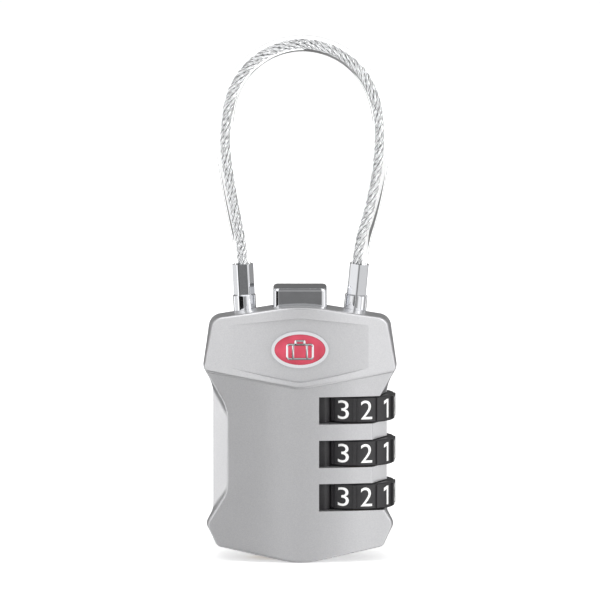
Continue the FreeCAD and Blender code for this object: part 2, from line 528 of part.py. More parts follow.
def code_sleeve(z):
    """A tube that turns with its dial, with a slotted gate for the spindle's fin."""
    low, high = z + SLEEVE_SPAN[0], z + SLEEVE_SPAN[1]
    sleeve = rod(DIAL_X, DIAL_Y, low, high, SLEEVE_RADIUS)
    flanges = [rod(DIAL_X, DIAL_Y, low, z + FORK_SPAN[0] - FORK_GAP, SLEEVE_FLANGE_RADIUS),
               rod(DIAL_X, DIAL_Y, z + FORK_SPAN[1] + FORK_GAP, z + FORK_SPAN[1] + 0.5, SLEEVE_FLANGE_RADIUS)]
    tooth = box(DIAL_X - 0.45, DIAL_X + 0.45, DIAL_Y - SLEEVE_FLANGE_RADIUS, DIAL_Y - 2.9,
                z + SLEEVE_TEETH[0], z + SLEEVE_TEETH[1])
    teeth = [spun(tooth, 72 * index) for index in range(5)]
    bores = [rod(DIAL_X, DIAL_Y, low, z + GATE[0], SLEEVE_BORE),
             rod(DIAL_X, DIAL_Y, z + GATE[1], high, SLEEVE_BORE),
             rod(DIAL_X, DIAL_Y, low, high, GATE_HOLE),
             box(DIAL_X - GATE_SLOT_WIDTH / 2, DIAL_X + GATE_SLOT_WIDTH / 2,
                 DIAL_Y - SLEEVE_BORE + 0.05, DIAL_Y, low, high)]
    return sleeve.fuse(flanges + teeth).cut(bores)


def sleeve_comb():
    """A spine with a fork in each sleeve's groove, lifted to set a new code."""
    spine = box(0.6, 2.5, -0.8, 0.8, SPINE_FOOT_Z, SPINE_TOP_Z)
    forks = []
    for z in DIAL_ZS.values():
        low, high = z + FORK_SPAN[0], z + FORK_SPAN[1]
        fork = box(2.4, 12.0, WEB_BACK_Y + 0.1, 4.6, low, high)
        forks.append(fork.cut(rod(DIAL_X, DIAL_Y, low, high, SLEEVE_RADIUS + 0.1)))
    return spine.fuse(forks)


def detent_spring():
    """A strip with a finger for each dial, whose tip lies between two ribs."""
    strip = box(-0.5, 2.2, 6.6, 6.88, 7.0, DECK_Z - 0.5)
    fingers = []
    tip = Vector(DIAL_X, DIAL_Y, 0) + Vector(-0.7716, 0.6361, 0) * (DIGIT_FACE_RADIUS + 0.1)
    outer, inner = Vector(2.1, 6.88, 0), Vector(2.1, 6.6, 0)
    for z in DIAL_ZS.values():
        corners = [(inner.x, inner.y), (tip.x - 0.75, tip.y + 0.55), (tip.x, tip.y), (tip.x + 0.1, tip.y + 0.7),
                   (tip.x - 0.4, tip.y + 1.0), (outer.x + 0.15, outer.y)]
        fingers.append(slab(corners, lambda a, b, z=z: Vector(a, b, z - 1.0), Vector(0, 0, 2.0)))
    return strip.fuse(fingers)


# ---- key cylinder ----

def cylinder_housing():
    body = rod(KEY_X, 0, FLOOR_Z, HOUSING_TOP_Z, HOUSING_RADIUS)
    bore = rod(KEY_X, 0, FLOOR_Z, PLUG_TOP_Z + 0.1, PLUG_RADIUS + 0.06)
    channel = box(KEY_X - 1.2, KEY_X + 1.2, -3.5, 3.5, FLOOR_Z + 1, PLUG_TOP_Z + 0.1)
    return body.cut([bore, channel, rod(KEY_X, 0, FLOOR_Z, HOUSING_TOP_Z, 1.45)])


WAFER_ZS = [4.6 + 2.4 * index for index in range(4)]
WAFER_HALF_X, WAFER_HALF_Y, WAFER_THICKNESS = 0.95, 2.45, 0.6


def key_plug():
    body = rod(KEY_X, 0, PLUG_FACE_Z, PLUG_TOP_Z, PLUG_RADIUS)
    keyway = box(KEY_X - 0.6, KEY_X + 0.6, -2.3, 2.0, PLUG_FACE_Z - 1, 13.6)
    entry = Part.makeCone(2.2, 1.4, 0.8, Vector(KEY_X, 0, PLUG_FACE_Z - 0.01))
    wafer_slots = [box(KEY_X - WAFER_HALF_X, KEY_X + WAFER_HALF_X, -4, 4, z, z + WAFER_THICKNESS)
                   for z in WAFER_ZS]
    shaft = rod(KEY_X, 0, PLUG_TOP_Z, HOUSING_TOP_Z + 0.6, 1.4).cut(
        ring(KEY_X, 0, HOUSING_TOP_Z + 0.05, HOUSING_TOP_Z + 0.5, 2, 1.0))
    tail = rod(KEY_X, 0, PLUG_TOP_Z, RETAINER_TOP_Z + 0.1, 1.0)
    stub = rod(KEY_X, 0, RETAINER_TOP_Z, 35.2, 0.55)
    return body.cut([keyway, entry] + wafer_slots).fuse([shaft, tail, stub])


def wafer_tumblers():
    wafers = []
    for z in WAFER_ZS:
        wafer = box(KEY_X - WAFER_HALF_X, KEY_X + WAFER_HALF_X, -WAFER_HALF_Y, WAFER_HALF_Y,
                    z, z + WAFER_THICKNESS)
        wafers.append(wafer.cut(box(KEY_X - 0.6, KEY_X + 0.6, -1.6, 1.6, z, z + WAFER_THICKNESS)))
    return Part.makeCompound(wafers)


def key_cam():
    return box(KEY_X - 1.7, KEY_X + 1.7, -0.95, 0.95, RETAINER_TOP_Z + 0.1, 35.2).cut(
        rod(KEY_X, 0, RETAINER_TOP_Z, 36, 0.55))


def cylinder_clip():
    clip = ring(KEY_X, 0, HOUSING_TOP_Z + 0.05, HOUSING_TOP_Z + 0.5, 2.2, 1.0)
    return clip.cut(box(KEY_X - 0.7, KEY_X + 0.7, 0, 3, HOUSING_TOP_Z, HOUSING_TOP_Z + 1))


# ---- assembly ----

casing = casing_blank()
NODES["front_shell"] = front_shell(casing)
NODES["back_cover"] = back_cover(casing)
NODES["case_screws"] = case_screws()
NODES["badge_enamel"], NODES["badge_rim"] = badge()
NODES["cable"] = cable()
NODES["anchor_ferrule"] = ferrule(-1)
NODES["anchor_pin"], NODES["anchor_clip"] = anchor_parts()
NODES["plug_ferrule"] = ferrule(1)
NODES["plug_pin"] = plug_pin()
NODES["release_button"] = release_button()
NODES["release_slider"] = release_slider()
NODES["button_springs"] = Part.makeCompound([spring(x, 0, BASE_TOP_Z, 43.0, 1.05, 0.3, 0.95)
                                             for x in (-2.8, 2.8)])
NODES["socket_block"] = socket_block()
NODES["hairpin_latch"] = hairpin_latch()
NODES["latch_retainer"] = latch_retainer()
NODES["frame_screws"] = frame_screws()
NODES["spindle"] = spindle()
NODES["spindle_spring"] = spring(DIAL_X, DIAL_Y, SPINDLE_SPRING_Z, SPINDLE_FOOT_Z, 1.3, 0.25, 1.0)
NODES["lower_bearing"] = lower_bearing()
for name, z in DIAL_ZS.items():
    NODES["dial_" + name] = dial(z)
    NODES["code_sleeve_" + name] = code_sleeve(z)
NODES["sleeve_comb"] = sleeve_comb()
NODES["reset_pin"] = rod(RESET_X, 0, RESET_PIN_FOOT_Z, SPINE_FOOT_Z, RESET_PIN_RADIUS)
NODES["reset_spring"] = spring(RESET_X, 0, SPINE_TOP_Z, RESET_SPRING_TOP_Z, 0.9, 0.25, 0.9)
NODES["detent_spring"] = detent_spring()
NODES["cylinder_housing"] = cylinder_housing()
NODES["key_plug"] = key_plug()
NODES["wafer_tumblers"] = wafer_tumblers()
NODES["key_cam"] = key_cam()
NODES["cylinder_clip"] = cylinder_clip()

os.makedirs("parts", exist_ok=True)
for name, shape in NODES.items():
    shape.exportStep("parts/%s.step" % name)
    size = shape.BoundBox
    print("%-20s solids %d valid %s volume %9.2f  x %.2f %.2f  y %.2f %.2f  z %.2f %.2f" % (
        name, len(shape.Solids), shape.isValid(), shape.Volume, size.XMin, size.XMax,
        size.YMin, size.YMax, size.ZMin, size.ZMax))
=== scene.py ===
import math
import bpy
from mathutils import Matrix, Vector


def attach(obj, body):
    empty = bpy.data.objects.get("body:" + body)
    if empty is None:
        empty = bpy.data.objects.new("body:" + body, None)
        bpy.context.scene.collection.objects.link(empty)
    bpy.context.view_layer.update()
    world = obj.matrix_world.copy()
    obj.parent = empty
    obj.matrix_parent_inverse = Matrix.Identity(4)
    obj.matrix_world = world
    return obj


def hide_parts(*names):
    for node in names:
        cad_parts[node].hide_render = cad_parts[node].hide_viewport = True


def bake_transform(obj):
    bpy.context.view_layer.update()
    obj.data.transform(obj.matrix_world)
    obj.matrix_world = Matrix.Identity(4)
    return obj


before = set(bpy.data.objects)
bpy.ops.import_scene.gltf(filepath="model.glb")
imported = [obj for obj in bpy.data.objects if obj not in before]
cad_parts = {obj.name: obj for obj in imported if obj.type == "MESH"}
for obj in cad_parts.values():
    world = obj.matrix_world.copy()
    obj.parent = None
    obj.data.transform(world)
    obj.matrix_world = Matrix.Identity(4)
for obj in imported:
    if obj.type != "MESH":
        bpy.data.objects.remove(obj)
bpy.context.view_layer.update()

# A cable lock for luggage, with three dials. Lengths are in metres, and mm is a millimetre.
mm = 0.001
bpy.ops.object.select_all(action="DESELECT")
bpy.context.scene.view_settings.view_transform = "Standard"

# The camera looks straight at the front, from a little above.
cameraView = {"target": (0.0, 0.0, 43.3 * mm), "azimuth": 0.0, "elevation": 7.0,
              "distance": 2.0, "frameWidth": 100 * mm, "sensor": 36.0}


def placeCamera(view):
    turn, tilt = math.radians(view["azimuth"]), math.radians(view["elevation"])
    back = Vector((math.sin(turn) * math.cos(tilt), -math.cos(turn) * math.cos(tilt),
                   math.sin(tilt)))
    bpy.ops.object.camera_add(location=Vector(view["target"]) + back * view["distance"],
                              rotation=(math.pi / 2 - tilt, 0, turn))
    camera = bpy.context.object
    camera.data.sensor_width = view["sensor"]
    camera.data.lens = view["sensor"] * view["distance"] / view["frameWidth"]
    bpy.context.scene.camera = camera


placeCamera(cameraView)
print("camera placed")

# The cable is a wire rope in a clear jacket.
cable = {
    # (x, z) of the route in mm in the plane Y=0, from the anchor ferrule to the plug ferrule
    "route": [(-9.553, 49.4), (-9.721, 52.6), (-10.65, 56.8), (-11.5, 61.2), (-12.22, 65.6),
              (-12.65, 69.2), (-12.5, 73.0), (-11.7, 78.0), (-8.9, 82.6), (-4.45, 85.6),
              (0.85, 86.55), (6.1, 85.25), (10.35, 81.95), (12.85, 77.2), (13.65, 72.0),
              (13.45, 67.0), (12.75, 62.3), (11.7, 57.5), (10.238, 53.0), (9.891, 49.4)],
    "steps": 16, "jacket": 2.7 * mm, "length": 89 * mm,
    # radii of the rings that strands and wires lie on, and the length of one turn of each
    "strands": 6, "strandRing": 0.39 * mm, "strandLay": 9.0 * mm,
    "wires": 4, "wireRing": 0.125 * mm, "wireLay": 4.2 * mm,
    "wire": 0.088 * mm, "core": 0.21 * mm,     # radii of one wire and of the rope's heart
    # how far in mm the rope sits towards the inside of the loop, at equal steps along it
    "sag": [0.0, 0.06, 0.10, 0.08, 0.05, 0.12, 0.24, 0.26, 0.25],
    "jacketRounding": 10, "wireRounding": 1, "coreRounding": 2, "smooth": 50,
}


def routeLine(points, resolution):
    # places along one open NURBS spline through the (x, z) points
    curve = bpy.data.curves.new("routeLine", "CURVE")
    curve.dimensions = "3D"
    curve.resolution_u = resolution
    spline = curve.splines.new("NURBS")
    spline.points.add(len(points) - 1)
    for point, (x, z) in zip(spline.points, points):
        point.co = (x * mm, 0, z * mm, 1)
    spline.order_u = 3
    spline.use_endpoint_u = True
    holder = bpy.data.objects.new("routeLine", curve)
    bpy.context.collection.objects.link(holder)
    bpy.context.view_layer.update()
    line = bpy.data.meshes.new_from_object(holder)
    places = [vertex.co.copy() for vertex in line.vertices]
    bpy.data.objects.remove(holder)
    bpy.data.meshes.remove(line)
    return places


def tubes(name, lines, radius, rounding, material):
    # one mesh of round tubes, each along a line of places
    curve = bpy.data.curves.new(name, "CURVE")
    curve.dimensions = "3D"
    curve.bevel_depth, curve.bevel_resolution, curve.use_fill_caps = radius, rounding, True
    for line in lines:
        spline = curve.splines.new("POLY")
        spline.points.add(len(line) - 1)
        for point, place in zip(spline.points, line):
            point.co = (*place, 1)
    piece = bpy.data.objects.new(name, curve)
    bpy.context.collection.objects.link(piece)
    bpy.context.view_layer.update()
    bpy.ops.object.select_all(action="DESELECT")
    piece.select_set(True)
    bpy.context.view_layer.objects.active = piece
    bpy.ops.object.convert(target="MESH")
    piece = bpy.context.object
    bpy.ops.object.shade_smooth_by_angle(angle=math.radians(cable["smooth"]))
    piece.data.materials.clear()
    piece.data.materials.append(material)
    return piece


def between(values, share):
    # eases from one value of a list to the next, at a share of its length
    place = share * (len(values) - 1)
    index = min(int(place), len(values) - 2)
    blend = place - index
    blend = blend * blend * (3 - 2 * blend)
    return values[index] * (1 - blend) + values[index + 1] * blend


def ropeLines(spec, middle):
    # the middle line of every wire in the strands, and of the heart that they lie round
    steps = [0.0]
    for before, after in zip(middle, middle[1:]):
        steps.append(steps[-1] + (after - before).length)
    cores, frames = [], []
    for index, place in enumerate(middle):
        along = (middle[min(index + 1, len(middle) - 1)] - middle[max(index - 1, 0)]).normalized()
        across = Vector((0, 1, 0))
        inward = across.cross(along).normalized()
        sag = between(spec["sag"], steps[index] / steps[-1]) * mm
        cores.append(place + inward * sag)
        frames.append((inward, across))
    wires = []
    for strand in range(spec["strands"]):
        for wire in range(spec["wires"]):
            line = []
            for step, core, (inward, across) in zip(steps, cores, frames):
                turn = 2 * math.pi * (strand / spec["strands"] + step / spec["strandLay"])
                out = inward * math.cos(turn) + across * math.sin(turn)
                side = across * math.cos(turn) - inward * math.sin(turn)
                roll = 2 * math.pi * (wire / spec["wires"] + step / spec["wireLay"])
                reach = spec["strandRing"] + spec["wireRing"] * math.cos(roll)
                line.append(core + out * reach + side * spec["wireRing"] * math.sin(roll))
            wires.append(line)
    return wires, cores


def srgb(code):
    # linear colour from an sRGB hex code
    colour = []
    for start in (0, 2, 4):
        part = int(code[start:start + 2], 16) / 255
        colour.append(part / 12.92 if part <= 0.04045 else ((part + 0.055) / 1.055) ** 2.4)
    return (*colour, 1)


def addNode(tree, kind, settings=None, links=None):
    # A setting names a socket or a property. "stops" are a colour ramp's (position, hex) pairs.
    node = tree.nodes.new(kind)
    for name, value in (settings or {}).items():
        if name == "stops":
            elements = node.color_ramp.elements
            while len(elements) < len(value):
                elements.new(0.5)     # its position is set below
            for element, (position, code) in zip(elements, value):
                element.position, element.color = position, srgb(code)
        elif isinstance(name, int) or name in node.inputs:
            node.inputs[name].default_value = value
        else:
            setattr(node, name, value)
    for name, socket in (links or {}).items():
        tree.links.new(socket, node.inputs[name])
    return node


def newMaterial(name, settings):
    # a material with one shader, and the place on the object that its patterns read
    material = bpy.data.materials.new(name)
    material.use_nodes = True
    tree = material.node_tree
    tree.nodes.clear()
    shader = addNode(tree, "ShaderNodeBsdfPrincipled", settings)
    addNode(tree, "ShaderNodeOutputMaterial", links={"Surface": shader.outputs[0]})
    place = addNode(tree, "ShaderNodeTexCoord").outputs["Object"]
    return material, tree, shader, place


def feed(tree, shader, name, socket):
    tree.links.new(socket, shader.inputs[name])


def silverLacquer():
    # Zinc die casting sprayed with satin silver lacquer: fine aluminium flake under a dull clear
    # coat gives a soft grey sheen, and the spray leaves a very shallow orange peel.
    material, tree, shader, place = newMaterial(
        "satinSilverLacquer", {"Metallic": 0.7, "Coat Weight": 0.1, "Coat Roughness": 0.3})
    # real flake is 0.03 mm across, drawn at 0.12 mm so that it shows
    flake = addNode(tree, "ShaderNodeTexVoronoi", {"Scale": 1 / (0.12 * mm)}, {"Vector": place})
    colour = addNode(tree, "ShaderNodeValToRGB",
                     {"stops": [(0.0, "C5C5C7"), (0.5, "CBCBCD"), (1.0, "D1D1D2")]},
                     {"Fac": flake.outputs["Color"]})
    # the spray's passes leave it a little duller in clouds of 6 mm
    cloud = addNode(tree, "ShaderNodeTexNoise", {"Scale": 1 / (6 * mm), "Detail": 3},
                    {"Vector": place})
    dull = addNode(tree, "ShaderNodeMapRange", {"To Min": 0.26, "To Max": 0.32},
                   {"Value": cloud.outputs["Fac"]})
    # orange peel with waves of 0.8 mm
    peel = addNode(tree, "ShaderNodeTexNoise", {"Scale": 1 / (0.8 * mm), "Detail": 2},
                   {"Vector": place})
    waves = addNode(tree, "ShaderNodeBump", {"Strength": 0.04, "Distance": 0.02 * mm},
                    {"Height": peel.outputs["Fac"]})
    feed(tree, shader, "Base Color", colour.outputs["Color"])
    feed(tree, shader, "Roughness", dull.outputs["Result"])
    feed(tree, shader, "Normal", waves.outputs[0])
    return material


def chromePlate():
    # Bright chrome on polished brass or zinc: a hard mirror, with faint wipe marks.
    material, tree, shader, place = newMaterial(
        "brightChromePlate", {"Base Color": srgb("E6E7EA"), "Metallic": 1.0})
    wipe = addNode(tree, "ShaderNodeTexNoise",
                   {"Scale": 1 / (1.5 * mm), "Detail": 4, "Distortion": 1.0}, {"Vector": place})
    dull = addNode(tree, "ShaderNodeMapRange", {"To Min": 0.03, "To Max": 0.11},
                   {"Value": wipe.outputs["Fac"]})
    feed(tree, shader, "Roughness", dull.outputs["Result"])
    return material


def dialPlastic():
    # Moulded black ABS with a fine spark-eroded skin: near black, with a satin sheen on the ribs.
    material, tree, shader, place = newMaterial("mouldedBlackAbs", {"IOR": 1.53})
    # the mould's grain is 0.15 mm wide
    grain = addNode(tree, "ShaderNodeTexNoise", {"Scale": 1 / (0.15 * mm), "Detail": 3},
                    {"Vector": place})
    colour = addNode(tree, "ShaderNodeValToRGB", {"stops": [(0.3, "242325"), (0.7, "302F31")]},
                     {"Fac": grain.outputs["Fac"]})
    dull = addNode(tree, "ShaderNodeMapRange", {"To Min": 0.3, "To Max": 0.46},
                   {"Value": grain.outputs["Fac"]})
    pits = addNode(tree, "ShaderNodeBump", {"Strength": 0.1, "Distance": 0.01 * mm},
                   {"Height": grain.outputs["Fac"]})
    feed(tree, shader, "Base Color", colour.outputs["Color"])
    feed(tree, shader, "Roughness", dull.outputs["Result"])
    feed(tree, shader, "Normal", pits.outputs[0])
    return material


def digitInk():
    # White pad-printing ink: flat and slightly chalky.
    material, tree, shader, place = newMaterial("whitePadInk", {"Roughness": 0.55})
    grain = addNode(tree, "ShaderNodeTexNoise", {"Scale": 1 / (0.2 * mm), "Detail": 2},
                    {"Vector": place})
    colour = addNode(tree, "ShaderNodeValToRGB", {"stops": [(0.3, "F1F1EF"), (0.7, "FCFCFB")]},
                     {"Fac": grain.outputs["Fac"]})
    feed(tree, shader, "Base Color", colour.outputs["Color"])
    return material


def redEnamel():
    # Soft enamel poured in the badge's well: glossy red resin, a little deeper in places.
    material, tree, shader, place = newMaterial(
        "pouredRedEnamel", {"Roughness": 0.12, "IOR": 1.5, "Coat Weight": 0.8,
                            "Coat Roughness": 0.03})
    depth = addNode(tree, "ShaderNodeTexNoise", {"Scale": 1 / (2.5 * mm), "Detail": 1},
                    {"Vector": place})
    colour = addNode(tree, "ShaderNodeValToRGB", {"stops": [(0.3, "B4233F"), (0.7, "CB3B56")]},
                     {"Fac": depth.outputs["Fac"]})
    feed(tree, shader, "Base Color", colour.outputs["Color"])
    return material


def turnedMetal(name, light, dark, roughness, grainSize):
    # Bare metal with fine tool marks, as turned, drawn or stamped parts have.
    material, tree, shader, place = newMaterial(name, {"Metallic": 1.0})
    marks = addNode(tree, "ShaderNodeTexNoise", {"Scale": 1 / grainSize, "Detail": 4},
                    {"Vector": place})
    colour = addNode(tree, "ShaderNodeValToRGB", {"stops": [(0.3, dark), (0.7, light)]},
                     {"Fac": marks.outputs["Fac"]})
    # smoother than the whole between the marks, and duller on them
    smooth, rough = roughness * 0.75, roughness * 1.3
    dull = addNode(tree, "ShaderNodeMapRange", {"To Min": smooth, "To Max": rough},
                   {"Value": marks.outputs["Fac"]})
    feed(tree, shader, "Base Color", colour.outputs["Color"])
    feed(tree, shader, "Roughness", dull.outputs["Result"])
    return material


def galvanisedWire():
    # Galvanised steel wire drawn bright, with painted shade in its colour: nearly white where the
    # wires lie open, and grey in the crevices between them, where an occlusion node finds them
    # crowded close.
    material, tree, shader = newMaterial(
        "galvanisedRopeWire", {"Metallic": 1.0, "Roughness": 0.25})[:3]
    # painted shade: the colour darkens where the wires crowd round a point, as shade would fall
    # there
    occlusionShade = addNode(tree, "ShaderNodeAmbientOcclusion", {"samples": 8, "Distance": 0.25 * mm})
    colour = addNode(tree, "ShaderNodeValToRGB", {"stops": [(0.2, "6E7074"), (0.8, "EFEFF0")]},
                     {"Fac": occlusionShade.outputs["AO"]})
    feed(tree, shader, "Base Color", colour.outputs["Color"])
    return material


def clearJacket():
    # Extruded clear PVC: bends light like glass, with a soft skin.
    return newMaterial(
        "clearPvcJacket", {"Base Color": srgb("FBFCFC"), "Roughness": 0.04, "IOR": 1.45,
                           "Transmission Weight": 1.0})[0]


finishes = {
    "casing_paint": silverLacquer(),
    "chrome": chromePlate(),
    "dial_plastic": dialPlastic(),
    "cable_jacket": clearJacket(),
    "badge_enamel": redEnamel(),
    # drawn stainless and music wire
    "spring_steel": turnedMetal("drawnSpringSteel", "B9BCC0", "A2A5AA", 0.25, 0.3 * mm),
    # zinc-plated machine screws
    "screw_steel": turnedMetal("zincPlatedSteel", "C3C6CA", "ABAFB5", 0.3, 0.25 * mm),
    "brass": turnedMetal("turnedBrass", "CDA75C", "BD9347", 0.26, 0.3 * mm),
    # a raw die casting: greyer and duller
    "cast_zinc": turnedMetal("rawZincCasting", "A4A6A9", "8F9195", 0.48, 0.5 * mm),
}
ropeWire = galvanisedWire()
inkWhite = digitInk()

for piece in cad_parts.values():
    for slot in piece.material_slots:
        slot.material = finishes[slot.material.name.split(".")[0]]
print("finishes given to the packed parts")

middle = routeLine(cable["route"], cable["steps"])
wires, cores = ropeLines(cable, middle)
jacket = tubes("cable_jacket", [middle], cable["jacket"] / 2, cable["jacketRounding"],
               finishes["cable_jacket"])
rope = tubes("wire_rope", wires, cable["wire"], cable["wireRounding"], ropeWire)
heart = tubes("rope_core", [cores], cable["core"], cable["coreRounding"], ropeWire)
for piece in (jacket, rope, heart):
    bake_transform(piece)
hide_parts("cable")
print("cable laid")

# The dials' numbers stand 0.03 mm proud, as thick ink does.
dialPrint = {"height": 3.15 * mm, "swell": -0.003, "proud": 0.03 * mm, "sunk": 0.03 * mm,
             "face": 6.3 * mm, "axis": (9.5 * mm, 0.2 * mm),
             "levels": {"top": 25.6 * mm, "middle": 18.3 * mm, "bottom": 11.0 * mm},
             # degrees: where the three stands round from the front, and the step between numbers
             "angleOfThree": -21.5, "pitch": 36,
             "strip": 0.3 * mm, "smooth": 30, "widths": {3: 1.95 * mm, 5: 1.95 * mm},
             # the one's flag in parts of the font's size: its height, and where its end lies
             "flag": (0.115, (-0.15, -0.065, 0))}


def flagTheOne(text, spec):
    # the font's one is a plain bar, so a flag is drawn out of its upper left side
    height, end = spec["flag"]
    top = max(vertex.co.y for vertex in text.data.vertices)
    bpy.ops.object.mode_set(mode="EDIT")
    bpy.ops.mesh.select_all(action="SELECT")
    bpy.ops.mesh.remove_doubles(threshold=1e-5)
    bpy.ops.mesh.bisect(plane_co=(0, top - height, 0), plane_no=(0, 1, 0))
    bpy.ops.mesh.select_all(action="DESELECT")
    bpy.ops.object.mode_set(mode="OBJECT")
    for face in text.data.polygons:
        facesLeft = face.normal.x < -0.9
        face.select = facesLeft and face.center.y > top - height
    bpy.ops.object.mode_set(mode="EDIT")
    bpy.ops.mesh.extrude_region_move(TRANSFORM_OT_translate={"value": end})
    bpy.ops.object.mode_set(mode="OBJECT")


def flatDigit(digit, spec):
    # one number as a thin solid in the plane Z=0, cut in strips so that it can bend
    bpy.ops.object.text_add()
    text = bpy.context.object
    text.data.body = str(digit)
    text.data.align_x, text.data.align_y = "CENTER", "CENTER"
    text.data.offset = spec["swell"]
    text.data.resolution_u = 6
    text.data.extrude = 0.01     # only tells the front from the back, until they are set below
    bpy.ops.object.convert(target="MESH")
    text = bpy.context.object
    if digit == 1:
        flagTheOne(text, spec)
    mesh = text.data
    ys = [vertex.co.y for vertex in mesh.vertices]
    xs = [vertex.co.x for vertex in mesh.vertices]
    scale = spec["height"] / (max(ys) - min(ys))
    width = spec["widths"].get(digit, (max(xs) - min(xs)) * scale)
    scaleX = width / (max(xs) - min(xs))
    middleX, middleY = (max(xs) + min(xs)) / 2, (max(ys) + min(ys)) / 2
    for vertex in mesh.vertices:
        top = vertex.co.z > 0
        vertex.co = ((vertex.co.x - middleX) * scaleX, (vertex.co.y - middleY) * scale,
                     spec["proud"] if top else -spec["sunk"])
    bpy.ops.object.mode_set(mode="EDIT")
    cuts = int(width / spec["strip"]) + 1
    for cut in range(1, cuts):
        bpy.ops.mesh.select_all(action="SELECT")
        bpy.ops.mesh.bisect(plane_co=(width * (cut / cuts - 0.5), 0, 0), plane_no=(1, 0, 0))
    bpy.ops.mesh.select_all(action="SELECT")
    bpy.ops.mesh.remove_doubles(threshold=1e-7)
    bpy.ops.object.mode_set(mode="OBJECT")
    text.select_set(False)
    return text


def printDial(name, level, digits, spec):
    # bends a copy of each number round the dial and joins them
    ring = []
    for digit, flat in enumerate(digits):
        figure = flat.copy()
        figure.data = flat.data.copy()
        bpy.context.collection.objects.link(figure)
        facet = math.radians(spec["angleOfThree"] + spec["pitch"] * (3 - digit))
        for vertex in figure.data.vertices:
            turn = facet + vertex.co.x / spec["face"]
            reach = spec["face"] + vertex.co.z
            vertex.co = (spec["axis"][0] + reach * math.sin(turn),
                         spec["axis"][1] - reach * math.cos(turn), level + vertex.co.y)
        ring.append(figure)
    bpy.ops.object.select_all(action="DESELECT")
    for figure in ring:
        figure.select_set(True)
    bpy.context.view_layer.objects.active = ring[0]
    bpy.ops.object.join()
    piece = bpy.context.object
    piece.name = name
    piece.data.materials.clear()
    piece.data.materials.append(inkWhite)
    bpy.ops.object.shade_smooth_by_angle(angle=math.radians(spec["smooth"]))
    return piece


digits = [flatDigit(digit, dialPrint) for digit in range(10)]
for level, height in dialPrint["levels"].items():
    figures = printDial("digits_" + level, height, digits, dialPrint)
    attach(figures, "dial_" + level)
for digit in digits:
    bpy.data.objects.remove(digit)
print("dials printed")

# A strip of black plastic is painted shade: it darkens the left end of each dial's window, where
# that end would lie in shadow.
paintedWindowShade = {"left": 3.19 * mm, "right": 4.95 * mm, "front": -5.35 * mm, "back": -4.85 * mm,
               "height": 4.56 * mm, "slant": 0.8 * mm, "edge": 0.05 * mm, "smooth": 40}


def shadeStrip(name, level, spec):
    middleX, middleY = (spec["left"] + spec["right"]) / 2, (spec["front"] + spec["back"]) / 2
    size = (spec["right"] - spec["left"], spec["back"] - spec["front"], spec["height"])
    bpy.ops.object.select_all(action="DESELECT")
    bpy.ops.mesh.primitive_cube_add(size=1, location=(middleX, middleY, level), scale=size)
    strip = bpy.context.object
    strip.name = name
    bpy.ops.object.transform_apply(location=True, rotation=True, scale=True)
    bpy.ops.object.mode_set(mode="EDIT")
    bpy.ops.mesh.select_all(action="DESELECT")
    bpy.ops.object.mode_set(mode="OBJECT")
    for vertex in strip.data.vertices:
        vertex.select = vertex.co.x > middleX and vertex.co.y < middleY
    bpy.ops.object.mode_set(mode="EDIT")
    bpy.ops.transform.translate(value=(-spec["slant"], 0, 0))
    bpy.ops.mesh.select_all(action="SELECT")
    bpy.ops.mesh.bevel(offset=spec["edge"], segments=2)
    bpy.ops.object.mode_set(mode="OBJECT")
    bpy.ops.object.shade_smooth_by_angle(angle=math.radians(spec["smooth"]))
    # the strip paints shade over the window's left end, in the dials' black plastic
    strip.data.materials.append(finishes["dial_plastic"])
    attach(strip, "casing")


for level, height in dialPrint["levels"].items():
    shadeStrip("window_painted_shade_" + level, height, paintedWindowShade)
print("window shades fitted")

# The badge carries a suitcase in raised metal. It leans back with the head, round the pivot.
badge = {"height": 35.8 * mm, "face": -7.48 * mm, "lean": -3.0, "pivot": (0, -6.1 * mm, 29.2 * mm),
         "case": (4.6 * mm, 2.7 * mm), "drop": -0.35 * mm, "corner": 0.5 * mm, "line": 0.32 * mm,
         "handle": (1.8 * mm, 0.62 * mm), "handleCorner": 0.3 * mm,
         "bars": 1.15 * mm, "barCorner": 0.096 * mm,     # bars lie this far from the middle
         "proud": 0.1 * mm, "sunk": 0.04 * mm, "edge": 0.03 * mm, "smooth": 40}


def bar(width, height, x, y, corner, segments):
    # a flat rounded rectangle in the plane Z=0
    bpy.ops.object.select_all(action="DESELECT")
    bpy.ops.mesh.primitive_plane_add(size=1, location=(x, y, 0))
    strip = bpy.context.object
    strip.scale = (width, height, 1)
    bpy.ops.object.transform_apply(location=True, rotation=True, scale=True)
    bpy.ops.object.mode_set(mode="EDIT")
    bpy.ops.mesh.select_all(action="SELECT")
    bpy.ops.mesh.bevel(offset=corner, segments=segments, affect="VERTICES")
    bpy.ops.object.mode_set(mode="OBJECT")
    return strip


def outline(width, height, x, y, corner, line):
    # a flat rounded ring in the plane Z=0
    ring = bar(width, height, x, y, corner, segments=5)
    bpy.ops.object.mode_set(mode="EDIT")
    bpy.ops.mesh.select_all(action="SELECT")
    bpy.ops.mesh.inset(thickness=line)
    bpy.ops.mesh.delete(type="FACE")
    bpy.ops.object.mode_set(mode="OBJECT")
    return ring


